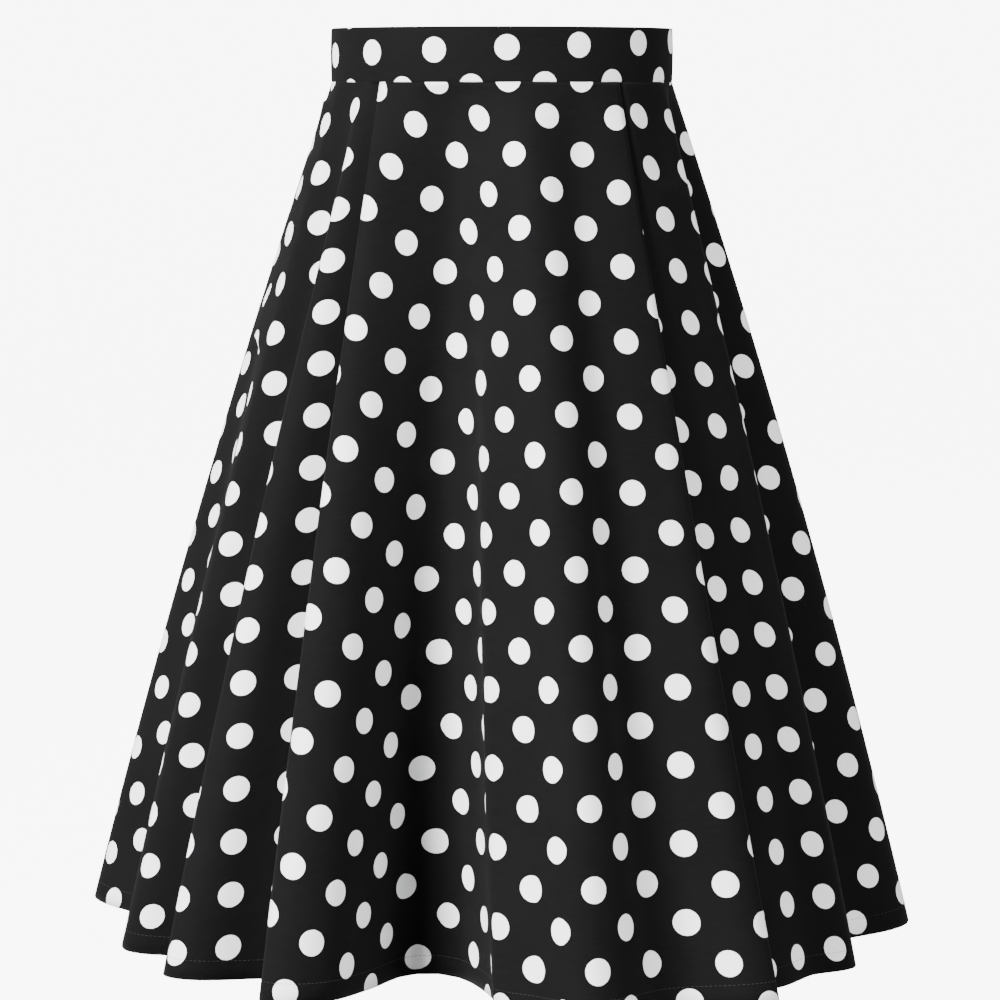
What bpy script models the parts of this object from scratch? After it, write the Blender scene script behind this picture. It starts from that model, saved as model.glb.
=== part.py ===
"""Flared skirt: a fitted waistband over a half-circle skirt that hangs in flutes.

The skirt is worn: the waist is at the origin, the front faces -Y and +Z is up.
Left and right are those of a viewer who looks at the front. Lengths are in metres.
"""

from typing import NamedTuple

import bpy
import numpy as np

# Sizes
WAIST_HALF_WIDTH = 0.1276
WAIST_HALF_DEPTH = 0.1076
BAND_HEIGHT = 0.040
BAND_WALL = 0.0024
CUT_WAIST_RADIUS = 0.286
SKIRT_LENGTH = 0.664
CUT_TURN = 180.0
CLOTH_WALL = 0.0011
SEAM_GAP = 0.0003
HEM_LEVELLING = 0.7
STEEPEST = 0.3
RINGS = 20
RING_CROWDING = 1.35
PLAIN_POINTS = 10
PLEAT_POINTS = 16
LEAN_FADE = 0.30
CREASE_FADE = 0.15
PLEAT_CREASE = 3.0
PLEAT_STEP = 0.0020
SEAM_FADE = 0.045
TUCK_DEPTH = 0.014
TUCK_PLACE = 0.10
SEAM_OFF_TIP = 2

ZIP_LENGTH = 0.200
TAPE_WIDTH = 0.012
TAPE_WALL = 0.0008
TAPE_ROWS = 13
TAPE_COLUMNS = 5
TAPE_DROP = 0.003
TAPE_EASE = 0.0018
BAND_EASE = 0.004
BACK_REACH = 4
SLIDER_TOP = 0.0165
SLIDER_HEIGHT = 0.0090
SLIDER_WIDTH = 0.0070
SLIDER_DEPTH = 0.0022
LUG_WIDTH = 0.0010
LUG_REACH = 0.0028
LUG_HEIGHT = 0.0030
PIN_RADIUS = 0.0006
PIN_OUT = 0.0016
PIN_DOWN = 0.0040
PIN_CLEARANCE = 0.0002
KNUCKLE_RADIUS = 0.0013
TAB_LENGTH = 0.0180
TAB_WIDTH = 0.0044
TAB_WALL = 0.0012
ROUND_SIDES = 24


class Crest(NamedTuple):
    """One crest line of the skirt and the fold that follows it, going round by the right.

    waist_cut, hem_cut: where the line lies on the flat cut, degrees from the front middle.
    hem_hang, hem_reach: where it hangs at the hem, degrees round the waist and distance out.
    take_up: cloth that the fold hides at the waist, a pleat where it isn't nought.
    waist_lean, hem_lean: how far the fold's valley lies under its first (-) or next (+) crest.
    sharp: how tightly the cloth turns.
    spring: how far the line runs ahead outwards at the hips.
    """

    name: str
    waist_cut: float
    hem_cut: float
    hem_hang: float
    hem_reach: float
    take_up: float
    waist_lean: float
    hem_lean: float
    sharp: float
    spring: float


CRESTS = [
    Crest("left side", -46.0, -46.0, -101.0, 0.328, 0.0, 0.0, 0.0, 1.0, 0.13),
    Crest("left third", -37.5, -35.0, -70.0, 0.300, 0.0, 0.0, 0.0, 1.0, 0.13),
    Crest("left second", -29.5, -26.5, -53.0, 0.304, 0.0395, 0.86, 0.1, 1.0, 0.13),
    Crest("left front", -19.2, -15.4, -32.5, 0.306, 0.0, 0.0, -0.17, 1.9, 0.13),
    Crest("centre", 3.6, 6.9, 11.2, 0.323, 0.0, 0.0, 0.0, 0.75, 0.18),
    Crest("right front", 18.2, 15.9, 36.6, 0.323, 0.0395, -0.86, -0.1, 1.3, -0.06),
    Crest("right second", 27.0, 22.4, 43.5, 0.288, 0.0, 0.0, 0.0, 0.8, 0.05),
    Crest("right third", 36.5, 27.5, 59.5, 0.299, 0.0, 0.0, -0.3, 1.0, 0.14),
    Crest("right side", 45.5, 40.0, 87.0, 0.314, 0.0, 0.0, 0.0, 1.0, 0.16),
    Crest("back first", 57.0, 54.0, 113.0, 0.302, 0.0, 0.0, 0.0, 1.0, 0.13),
    Crest("back second", 67.5, 66.5, 135.0, 0.302, 0.0395, 0.86, 0.1, 1.0, 0.13),
    Crest("back third", 79.0, 79.0, 157.0, 0.302, 0.0, 0.0, 0.0, 1.0, 0.13),
    Crest("back middle", 90.0, 90.0, 180.0, 0.302, 0.0, 0.0, 0.0, 1.0, 0.13),
    Crest("back fifth", 101.0, 101.0, 201.0, 0.302, 0.0395, -0.86, -0.1, 1.0, 0.13),
    Crest("back sixth", 112.5, 112.0, 222.0, 0.302, 0.0, 0.0, 0.0, 1.0, 0.13),
    Crest("back seventh", 123.5, 123.0, 241.0, 0.308, 0.0, 0.0, 0.0, 1.0, 0.13),
]
FRONT_MIDDLE = 4


# Scene and solids
def clear_scene():
    """Empty the scene and give back the two collections."""
    for obj in list(bpy.data.objects):
        bpy.data.objects.remove(obj, do_unlink=True)
    for old in list(bpy.data.collections):
        bpy.data.collections.remove(old)
    part = bpy.data.collections.new("flared_skirt")
    cutters = bpy.data.collections.new("cutters")
    bpy.context.scene.collection.children.link(part)
    bpy.context.scene.collection.children.link(cutters)
    return part, cutters


def make_material(name, colour, roughness, metallic=0.0):
    """Plain Principled material."""
    material = bpy.data.materials.new(name)
    material.use_nodes = True
    shader = material.node_tree.nodes["Principled BSDF"]
    shader.inputs["Base Color"].default_value = (*colour, 1.0)
    shader.inputs["Roughness"].default_value = roughness
    shader.inputs["Metallic"].default_value = metallic
    material.diffuse_color = (*colour, 1.0)
    return material


def add_solid(name, vertices, faces, material, collection):
    """Closed body from its vertices and faces."""
    mesh = bpy.data.meshes.new(name)
    mesh.from_pydata([tuple(map(float, v)) for v in vertices], [], faces)
    mesh.materials.append(material)
    mesh.validate()
    obj = bpy.data.objects.new(name, mesh)
    collection.objects.link(obj)
    return obj


def slab(outer, inner):
    """Vertices and faces of a sheet with a wall: two grids of the same size, closed at the edges."""
    rows, cols = outer.shape[:2]
    vertices = np.concatenate([outer.reshape(-1, 3), inner.reshape(-1, 3)])
    step = rows * cols

    def at(row, col, side):
        return side * step + row * cols + col

    faces = []
    for r in range(rows - 1):
        for c in range(cols - 1):
            faces.append((at(r, c, 0), at(r + 1, c, 0), at(r + 1, c + 1, 0), at(r, c + 1, 0)))
            faces.append((at(r, c, 1), at(r, c + 1, 1), at(r + 1, c + 1, 1), at(r + 1, c, 1)))
    for c in range(cols - 1):
        faces.append((at(0, c, 0), at(0, c + 1, 0), at(0, c + 1, 1), at(0, c, 1)))
        last = rows - 1
        faces.append((at(last, c, 0), at(last, c, 1), at(last, c + 1, 1), at(last, c + 1, 0)))
    for r in range(rows - 1):
        faces.append((at(r, 0, 0), at(r, 0, 1), at(r + 1, 0, 1), at(r + 1, 0, 0)))
        last = cols - 1
        faces.append((at(r, last, 0), at(r + 1, last, 0), at(r + 1, last, 1), at(r, last, 1)))
    return vertices, faces


# The waist
def waist_turn(arc):
    """Angle round the waist ellipse after a length walked from the front middle."""
    turn = np.linspace(-3 * np.pi, 5 * np.pi, 40001)
    middle = (turn[1:] + turn[:-1]) / 2
    pace = np.hypot(WAIST_HALF_WIDTH * np.cos(middle), WAIST_HALF_DEPTH * np.sin(middle))
    walked = np.concatenate([[0.0], np.cumsum(pace * np.diff(turn))])
    walked -= np.interp(0.0, turn, walked)
    return np.interp(arc, walked, turn)


def half_waist():
    """Length along the waist from the front middle to the back middle."""
    turn = np.linspace(0, np.pi, 4001)
    middle = (turn[1:] + turn[:-1]) / 2
    pace = np.hypot(WAIST_HALF_WIDTH * np.cos(middle), WAIST_HALF_DEPTH * np.sin(middle))
    return float((pace * np.diff(turn)).sum())


def waist_point(turn, out=0.0):
    """Point of the waist ellipse, moved out square to it."""
    across = np.stack([WAIST_HALF_DEPTH * np.sin(turn), -WAIST_HALF_WIDTH * np.cos(turn)], -1)
    across /= np.linalg.norm(across, axis=-1, keepdims=True)
    on = np.stack([WAIST_HALF_WIDTH * np.sin(turn), -WAIST_HALF_DEPTH * np.cos(turn)], -1)
    return on + out * across


# The skirt's folds
def column(name):
    """One column of the crest table."""
    return np.array([getattr(crest, name) for crest in CRESTS], float)


def once_more(values, add):
    """The same column with its first entry again at the end, one turn on."""
    return np.append(values, values[0] + add)


def waist_arcs():
    """Length along the waist from the front middle to each crest."""
    take_up = column("take_up")
    hidden = np.concatenate([[0.0], np.cumsum(take_up[:-1])])
    hidden -= hidden[FRONT_MIDDLE]
    return once_more(CUT_WAIST_RADIUS * np.radians(column("waist_cut")) - hidden, 2 * half_waist())


def crest_lines(down):
    """Cut angle, place in plan, direction of the hang and share of the length of each crest."""
    waist_turns = waist_turn(waist_arcs())
    hangs = once_more(np.radians(column("hem_hang")), 2 * np.pi)
    reach = once_more(column("hem_reach"), 0.0)
    waist_cut = np.radians(once_more(column("waist_cut"), CUT_TURN))
    hem_cut = np.radians(once_more(column("hem_cut"), CUT_TURN))

    share = (down / SKIRT_LENGTH)[:, None]
    radius = (CUT_WAIST_RADIUS + down)[:, None]
    hem_radius = CUT_WAIST_RADIUS + SKIRT_LENGTH
    swing = hem_cut - waist_cut
    run = np.stack([hem_radius * np.sin(swing), hem_radius * np.cos(swing) - CUT_WAIST_RADIUS])
    square = (run ** 2).sum(0)
    along = CUT_WAIST_RADIUS * run[1]
    reached = (-along + np.sqrt(along ** 2 + square * (radius ** 2 - CUT_WAIST_RADIUS ** 2))) / square
    cut = waist_cut + np.arctan2(reached * run[0], CUT_WAIST_RADIUS + reached * run[1])

    top = waist_point(waist_turns)
    hem = np.stack([reach * np.sin(hangs), -reach * np.cos(hangs)], -1)
    spread = share * (1 + once_more(column("spring"), 0.0) * (1 - share))
    place = top + spread[..., None] * (hem - top)
    along_waist = np.unwrap(np.arctan2(WAIST_HALF_DEPTH * np.sin(waist_turns),
                                       WAIST_HALF_WIDTH * np.cos(waist_turns)))
    heading = along_waist + share * (hangs - along_waist)
    return cut, place, heading, share[:, 0]


def fold(chord, first, last, length, lean, sharp, points):
    """Plan of one fold on every ring, from its first crest to the next.

    The cloth swings in from the first crest, then out to the next, and each swing grows and
    dies away smoothly. The two swings are solved so that the given length of cloth ends
    at the next crest. Returns the steps between points and their shares of the cloth.
    """
    reach = np.linalg.norm(chord, axis=-1)
    ratio = np.minimum(reach / length, 0.9999)
    valley = 0.5 * (1 + lean * ratio)
    half = points // 2
    at = (np.arange(half) + 0.5) / half
    swell = np.tanh(sharp[:, None] * np.sin(np.pi * at)) / np.tanh(sharp[:, None])
    going, coming = valley * length, (1 - valley) * length
    turn = (last - first)[:, None]
    base_in = first[:, None] + turn * at * valley[:, None]
    base_out = first[:, None] + turn * (valley[:, None] + at * (1 - valley[:, None]))

    def steps(swing_in, swing_out):
        inward = base_in + swing_in[:, None] * swell
        outward = base_out - swing_out[:, None] * swell
        a = np.stack([np.cos(inward), np.sin(inward)], -1) * (going / half)[:, None, None]
        b = np.stack([np.cos(outward), np.sin(outward)], -1) * (coming / half)[:, None, None]
        return np.concatenate([a, b], 1)

    def corner(near, far):
        return np.arccos(np.clip((near ** 2 + reach ** 2 - far ** 2) / (2 * near * reach), -1, 1))

    swing_in = corner(going, coming) * 1.1 + 0.02
    swing_out = corner(coming, going) * 1.1 + 0.02
    nudge = 1e-5
    for _ in range(80):
        miss = steps(swing_in, swing_out).sum(1) - chord
        by_in = (steps(swing_in + nudge, swing_out).sum(1) - chord - miss) / nudge
        by_out = (steps(swing_in, swing_out + nudge).sum(1) - chord - miss) / nudge
        det = by_in[:, 0] * by_out[:, 1] - by_in[:, 1] * by_out[:, 0]
        det = np.where(np.abs(det) < 1e-9, 1e-9, det)
        more_in = -(miss[:, 0] * by_out[:, 1] - miss[:, 1] * by_out[:, 0]) / det
        more_out = -(by_in[:, 0] * miss[:, 1] - by_in[:, 1] * miss[:, 0]) / det
        swing_in = np.clip(swing_in + np.clip(more_in, -0.1, 0.1), 0, 3.1)
        swing_out = np.clip(swing_out + np.clip(more_out, -0.1, 0.1), 0, 3.1)
    path = np.concatenate([np.zeros((len(chord), 1, 2)), np.cumsum(steps(swing_in, swing_out), 1)], 1)
    share = np.concatenate([np.linspace(0, 1, half + 1)[None] * valley[:, None],
                            valley[:, None] + np.linspace(0, 1, half + 1)[None, 1:] * (1 - valley)[:, None]], 1)
    path += share[..., None] * (chord - path[:, -1])[:, None]
    return path, share


def waist_fold(start, end, length, lean, share):
    """Plan of one fold along the waist seam, where the band holds it flat.

    A plain fold follows the waist. A pleat's long side slides under the crest that its valley
    leans to, and its short side comes back between the two.
    """
    if not lean:
        return waist_point(waist_turn(start + share * (end - start)))
    if lean < 0:
        mirror = waist_fold(-end, -start, length, -lean, 1 - share[::-1])[::-1]
        return mirror * np.array([-1.0, 1.0])
    short = (length - (end - start)) / 2
    tip = end + short
    half = len(share) // 2
    going = np.linspace(0, 1, half + 1)
    long_arc = start + going * (tip - start)
    ramp = np.clip((long_arc - start) / (end - start), 0, 1)
    long_deep = 2 * PLEAT_STEP * ramp ** 2 * (3 - 2 * ramp)
    short_arc = tip + going[1:] * (end - tip)
    short_deep = np.full(half, PLEAT_STEP)
    short_deep[-1] = 0.0
    long_deep[-1] = 1.5 * PLEAT_STEP
    arc = np.concatenate([long_arc, short_arc])
    deep = np.concatenate([long_deep, short_deep])
    return waist_point(waist_turn(arc), -deep[:, None])


def tuck(over, share, points):
    """Shift in plan that keeps a pleat under the cloth beside the crest that covers it.

    It points to the middle and grows evenly from both crests to the valley. Down the skirt it
    rises to its depth at one place and fades away after it.
    """
    pace = share / TUCK_PLACE
    depth = TUCK_DEPTH * (pace * np.exp(1 - pace)) ** 2
    inward = -over / np.linalg.norm(over, axis=-1, keepdims=True)
    rise = 1 - np.abs(np.linspace(-1, 1, points + 1))
    return (depth[:, None] * inward)[:, None] * rise[None, :, None]


def skirt_surface():
    """Middle of the cloth all round: points (ring, column), with the column of each crest and valley."""
    down = SKIRT_LENGTH * np.linspace(0, 1, RINGS) ** RING_CROWDING
    cut, place, heading, share = crest_lines(down)
    arcs = waist_arcs()
    radius = CUT_WAIST_RADIUS + down
    plans, cuts, crest_at, valley_at, count = [], [], [], [], 0
    for j, crest in enumerate(CRESTS):
        points = PLEAT_POINTS if crest.take_up else PLAIN_POINTS
        length = radius * (cut[:, j + 1] - cut[:, j])
        lean = crest.hem_lean + (crest.waist_lean - crest.hem_lean) * np.exp(-share / LEAN_FADE)
        crease = PLEAT_CREASE if crest.take_up else 0.0
        sharp = crest.sharp + crease * np.exp(-share / CREASE_FADE)
        path, part = fold(place[:, j + 1] - place[:, j], heading[:, j], heading[:, j + 1],
                          length, lean, sharp, points)
        plan = place[:, j][:, None] + path
        seam = waist_fold(arcs[j], arcs[j + 1], length[0], crest.waist_lean, part[0])
        plan = plan + (seam - plan[0]) * np.exp(-share / SEAM_FADE)[:, None, None]
        if crest.take_up:
            plan = plan + tuck(place[:, j + (crest.waist_lean > 0)], share, points)
        plans.append(plan[:, :-1])
        cuts.append(cut[:, j][:, None] + (cut[:, j + 1] - cut[:, j])[:, None] * part[:, :-1])
        crest_at.append(count)
        valley_at.append(count + points // 2)
        count += points
    plan = np.concatenate(plans, 1)
    angle = np.concatenate(cuts, 1)
    flat = radius[:, None, None] * np.stack([np.sin(angle), np.cos(angle)], -1)
    cloth = np.linalg.norm(np.diff(flat, axis=0), axis=-1)
    shift = np.linalg.norm(np.diff(plan, axis=0), axis=-1)
    fall = np.sqrt(np.maximum(cloth ** 2 - shift ** 2, (STEEPEST * cloth) ** 2))
    depth = np.concatenate([np.zeros((1, count)), np.cumsum(fall, 0)])
    depth *= 1 + HEM_LEVELLING * (depth[-1].mean() / depth[-1] - 1)
    height = -BAND_HEIGHT / 2 - SEAM_GAP / 2 - depth
    return np.concatenate([plan, height[..., None]], -1), crest_at, valley_at


def outward(surface):
    """Unit normals of the closed skirt surface, pointing out."""
    around = np.roll(surface, -1, 1) - np.roll(surface, 1, 1)
    down = np.gradient(surface, axis=0)
    normal = np.cross(around, down)
    normal /= np.linalg.norm(normal, axis=-1, keepdims=True)
    return -normal if normal[0, 0] @ np.array([*surface[0, 0, :2], 0.0]) < 0 else normal


def add_panel(name, surface, normal, start, stop, material, collection):
    """One skirt panel between two columns of the surface, drawn back from both seams."""
    cols = np.arange(start, stop + 1) % surface.shape[1]
    middle, out = surface[:, cols].copy(), normal[:, cols]
    for edge, inner in ((0, 1), (-1, -2)):
        along = middle[:, inner] - middle[:, edge]
        along /= np.linalg.norm(along, axis=-1, keepdims=True)
        middle[:, edge] += along * SEAM_GAP / 2
    half = CLOTH_WALL / 2
    return add_solid(name, *slab(middle + out * half, middle - out * half), material, collection)


def add_skirt(material, collection):
    """The five panels of the skirt."""
    surface, crest_at, valley_at = skirt_surface()
    normal = outward(surface)
    total = surface.shape[1]
    names = [crest.name for crest in CRESTS]
    left_side = crest_at[names.index("left side")]
    left_tuck = valley_at[names.index("left second")] - SEAM_OFF_TIP
    right_tuck = valley_at[names.index("right front")] + SEAM_OFF_TIP
    right_side = valley_at[names.index("right third")]
    back = crest_at[names.index("back middle")]
    spans = {
        "front_side_panel_left": (left_side, left_tuck),
        "front_centre_panel": (left_tuck, right_tuck),
        "front_side_panel_right": (right_tuck, right_side),
        "back_panel_right": (right_side, back),
        "back_panel_left": (back, left_side + total),
    }
    for name, (start, stop) in spans.items():
        add_panel(name, surface, normal, start, stop, material, collection)


# Waistband and zip
def add_band(name, first, last, points, material, collection):
    """Upright band along the waist between two turns, drawn back from both ends."""
    ends = waist_turn(np.array([first + SEAM_GAP / 2, last - SEAM_GAP / 2]))
    turn = np.linspace(ends[0], ends[1], points)
    skin = CLOTH_WALL / 2
    top, foot = BAND_HEIGHT / 2, -BAND_HEIGHT / 2 + SEAM_GAP / 2
    rows = []
    for out in (skin, skin - BAND_WALL):
        line = waist_point(turn, out)
        rows.append(np.stack([np.c_[line, np.full(points, z)] for z in (top, foot)]))
    return add_solid(name, *slab(rows[0], rows[1]), material, collection)


def add_waistband(material, collection):
    """Front band and the two back bands, which meet at the zip."""
    half = half_waist()
    side = half / 2
    add_band("waistband_front", -side, side, 33, material, collection)
    add_band("waistband_back_right", side, half, 17, material, collection)
    add_band("waistband_back_left", -half, -side, 17, material, collection)


def back_inside(x, z):
    """Distance behind the origin of the inside of the back, over a grid of x and heights z."""
    surface, crest_at, _ = skirt_surface()
    back = crest_at[[crest.name for crest in CRESTS].index("back middle")]
    near = surface[:, back - BACK_REACH:back + BACK_REACH + 1]
    rows = np.array([np.interp(-x, -ring[:, 0], ring[:, 1]) for ring in near])
    heights = near[:, BACK_REACH, 2]
    skirt = np.array([np.interp(-z, -heights, rows[:, i]) for i in range(len(x))]).T
    band = WAIST_HALF_DEPTH * np.sqrt(1 - (x / WAIST_HALF_WIDTH) ** 2)
    band_inside = band + CLOTH_WALL / 2 - BAND_WALL
    by_band = np.where(z > -BAND_HEIGHT / 2 - BAND_EASE, 1, 0)[:, None]
    skirt_inside = skirt - CLOTH_WALL / 2
    return np.where(by_band, np.minimum(band_inside, skirt_inside), skirt_inside)


def add_box(name, low, high, material, collection):
    """Closed box between two corners."""
    (x0, y0, z0), (x1, y1, z1) = low, high
    vertices = [(x0, y0, z0), (x1, y0, z0), (x1, y1, z0), (x0, y1, z0),
                (x0, y0, z1), (x1, y0, z1), (x1, y1, z1), (x0, y1, z1)]
    faces = [(0, 3, 2, 1), (4, 5, 6, 7), (0, 1, 5, 4), (1, 2, 6, 5), (2, 3, 7, 6), (3, 0, 4, 7)]
    return add_solid(name, vertices, faces, material, collection)


def add_tapes(material, collection):
    """The two zip tapes against the inside of the back opening."""
    top = BAND_HEIGHT / 2 - TAPE_DROP
    z = np.linspace(top, top - ZIP_LENGTH, TAPE_ROWS)
    across = np.linspace(SEAM_GAP / 2, TAPE_WIDTH, TAPE_COLUMNS)
    for name, x in (("zip_tape_right", across[::-1]), ("zip_tape_left", -across)):
        face = back_inside(x, z) - TAPE_EASE
        place = np.stack(np.broadcast_arrays(x[None], face, z[:, None]), -1)
        inner = place - np.array([0.0, TAPE_WALL, 0.0])
        add_solid(name, *slab(place, inner), material, collection)


def add_rod(name, radius, x0, x1, y, z, material, collection):
    """Closed round rod along X."""
    turn = np.linspace(0, 2 * np.pi, ROUND_SIDES, endpoint=False)
    ring = np.stack([y + radius * np.cos(turn), z + radius * np.sin(turn)], -1)
    vertices = [(x, *point) for x in (x0, x1) for point in ring]
    ends = [tuple(range(ROUND_SIDES))[::-1], tuple(range(ROUND_SIDES, 2 * ROUND_SIDES))]
    sides = [(i, (i + 1) % ROUND_SIDES, ROUND_SIDES + (i + 1) % ROUND_SIDES, ROUND_SIDES + i)
             for i in range(ROUND_SIDES)]
    return add_solid(name, vertices, ends + sides, material, collection)


def combine(body, tools, operation):
    """Add the tools to a body or take them from it; the tools stay hidden."""
    for tool in tools:
        step = body.modifiers.new(tool.name, "BOOLEAN")
        step.operation = operation
        step.solver = "EXACT"
        step.object = tool
        tool.hide_render = True
        tool.display_type = "WIRE"


def add_pull(material, part, cutters):
    """Zip slider with its lugs and pin, and the tab that hangs from the pin."""
    outside = WAIST_HALF_DEPTH + CLOTH_WALL / 2 + SEAM_GAP
    face = outside + SLIDER_DEPTH
    half = SLIDER_WIDTH / 2
    pin_y, pin_z = face + PIN_OUT, SLIDER_TOP - PIN_DOWN
    slider = add_box("zip_slider", (-half, outside, SLIDER_TOP - SLIDER_HEIGHT),
                     (half, face, SLIDER_TOP), material, part)
    tools = []
    for name, x0 in (("lug_left", -half), ("lug_right", half - LUG_WIDTH)):
        low = (x0, face - SLIDER_DEPTH / 2, pin_z - LUG_HEIGHT / 2)
        high = (x0 + LUG_WIDTH, face + LUG_REACH, pin_z + LUG_HEIGHT / 2)
        tools.append(add_box(name, low, high, material, cutters))
    bite = LUG_WIDTH / 2
    tools.append(add_rod("pin", PIN_RADIUS, -half + bite, half - bite, pin_y, pin_z, material, cutters))
    combine(slider, tools, "UNION")

    wide = TAB_WIDTH / 2
    tab = add_box("zip_pull_tab", (-wide, pin_y - TAB_WALL / 2, pin_z - TAB_LENGTH),
                  (wide, pin_y + TAB_WALL / 2, pin_z), material, part)
    knuckle = add_rod("knuckle", KNUCKLE_RADIUS, -wide, wide, pin_y, pin_z, material, cutters)
    bore = add_rod("bore", PIN_RADIUS + PIN_CLEARANCE, -2 * wide, 2 * wide, pin_y, pin_z, material, cutters)
    combine(tab, [knuckle], "UNION")
    combine(tab, [bore], "DIFFERENCE")


def main():
    """Build the whole skirt."""
    part, cutters = clear_scene()
    cloth = make_material("dotted_cloth", (0.017, 0.016, 0.018), 0.85)
    tape = make_material("zip_tape", (0.016, 0.016, 0.017), 0.9)
    metal = make_material("zip_metal", (0.020, 0.020, 0.022), 0.45)
    add_waistband(cloth, part)
    add_skirt(cloth, part)
    add_tapes(tape, part)
    add_pull(metal, part, cutters)


main()
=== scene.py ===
"""Dresses the flared skirt: dotted cloth panels, a faced waistband and a concealed zip.

The front faces -Y and +Z is up; left and right are those of a viewer who looks at the front.
Every length is in metres and every angle of the cut in degrees.
"""

import logging
from dataclasses import dataclass, field
from enum import Enum

import bpy
import numpy as np
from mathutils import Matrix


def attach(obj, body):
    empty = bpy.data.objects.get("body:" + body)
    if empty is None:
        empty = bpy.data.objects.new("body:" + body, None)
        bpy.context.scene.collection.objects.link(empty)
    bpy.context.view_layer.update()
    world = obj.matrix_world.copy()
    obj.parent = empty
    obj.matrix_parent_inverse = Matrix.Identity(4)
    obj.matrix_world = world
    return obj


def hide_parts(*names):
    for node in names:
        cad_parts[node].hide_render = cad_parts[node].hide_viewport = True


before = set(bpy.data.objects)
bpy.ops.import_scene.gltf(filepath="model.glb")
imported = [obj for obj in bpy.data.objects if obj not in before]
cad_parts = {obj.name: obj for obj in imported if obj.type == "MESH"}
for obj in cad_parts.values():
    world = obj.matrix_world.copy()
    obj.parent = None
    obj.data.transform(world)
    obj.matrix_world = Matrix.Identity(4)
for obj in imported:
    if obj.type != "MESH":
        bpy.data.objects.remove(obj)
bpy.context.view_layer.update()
LOG = logging.getLogger("flared_skirt")
SKIRT_BODY = "skirt"
TAB_BODY = "pull_tab"
NodeTree = bpy.types.NodeTree
Socket = bpy.types.NodeSocket
Array = np.ndarray


class Side(Enum):
    """Which face of the cloth a material goes to."""

    OUTSIDE = 0
    INSIDE = 1


# Meshes
@dataclass(frozen=True)
class Piece:
    """A finished mesh piece and how it joins the frame.

    Args:
        name: the piece's name.
        body: the body that it rides on.
        slot: a material slot of the record; not used.
    """

    name: str
    body: str
    slot: str

    def make(self, vertices: Array, faces: list, materials: list, index: Array | None = None,
             uv: Array | None = None, smooth: bool = True) -> bpy.types.Object:
        """Put arrays into a mesh, dress it and let it ride.

        Args:
            vertices: points, one row each.
            faces: corner numbers of each face.
            materials: materials of the piece's slots.
            index: material slot of each face.
            uv: place on the print for each vertex.
            smooth: whether the faces are shaded smooth.

        Returns:
            The linked object.
        """
        mesh = bpy.data.meshes.new(self.name)
        mesh.from_pydata(vertices.tolist(), [], faces)
        for material in materials:
            mesh.materials.append(material)
        if index is not None:
            mesh.polygons.foreach_set("material_index", index.astype(np.int32))
        mesh.polygons.foreach_set("use_smooth", np.full(len(mesh.polygons), smooth))
        if uv is not None:
            corner = np.empty(len(mesh.loops), np.int32)
            mesh.loops.foreach_get("vertex_index", corner)
            layer = mesh.uv_layers.new(name="print")
            layer.data.foreach_set("uv", uv[corner].astype(np.float32).ravel())
        mesh.update()
        obj = bpy.data.objects.new(self.name, mesh)
        bpy.context.scene.collection.objects.link(obj)
        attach(obj, self.body)
        LOG.info("%s: %d faces", self.name, len(mesh.polygons))
        return obj


def grid_faces(rows: int, cols: int, start: int = 0, flip: bool = False) -> Array:
    """Faces of a grid of points, row by row: each face joins a point to its three next ones.

    Args:
        rows: rows of points.
        cols: points in a row.
        start: number of the first point.
        flip: turn the faces over.

    Returns:
        Corner numbers, four a face.
    """
    at = start + np.arange(rows * cols).reshape(rows, cols)
    quads = np.stack([at[:-1, :-1], at[1:, :-1], at[1:, 1:], at[:-1, 1:]], -1).reshape(-1, 4)
    return quads[:, ::-1] if flip else quads


def ring_faces(rows: int, cols: int, flip: bool = False) -> Array:
    """Faces of rows of points where each row is a ring that closes on itself.

    Args:
        rows: rings of points.
        cols: points in a ring.
        flip: turn the faces over.

    Returns:
        Corner numbers, four a face.
    """
    at = np.arange(rows * cols).reshape(rows, cols)
    after = np.roll(at, -1, axis=1)
    quads = np.stack([at[:-1], at[1:], after[1:], after[:-1]], -1).reshape(-1, 4)
    return quads[:, ::-1] if flip else quads


def strip_faces(a: Array, b: Array) -> Array:
    """Faces between two equal lines of point numbers.

    Args:
        a: numbers along the first line.
        b: numbers along the second line.

    Returns:
        Corner numbers, four a face.
    """
    return np.stack([a[:-1], a[1:], b[1:], b[:-1]], -1)


def shell(outer: Array, inner: Array) -> tuple[Array, Array, Array]:
    """A closed thin sheet: an outer and an inner grid, joined along the four edges.

    Args:
        outer: points of the outer face, (rows, columns, 3).
        inner: points of the inner face, the same size.

    Returns:
        Vertices, faces and the side that each face belongs to.
    """
    rows, cols = outer.shape[:2]
    back = rows * cols
    at = np.arange(back).reshape(rows, cols)
    faces = [grid_faces(rows, cols), grid_faces(rows, cols, back, flip=True)]
    rims = [strip_faces(at[0], at[0] + back), strip_faces(at[-1] + back, at[-1]),
            strip_faces(at[:, 0] + back, at[:, 0]), strip_faces(at[:, -1], at[:, -1] + back)]
    rim_count = sum(len(rim) for rim in rims)
    side = np.repeat([Side.OUTSIDE.value, Side.INSIDE.value, Side.OUTSIDE.value],
                     [len(faces[0]), len(faces[1]), rim_count])
    vertices = np.concatenate([outer.reshape(-1, 3), inner.reshape(-1, 3)])
    return vertices, np.concatenate(faces + rims), side


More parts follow.
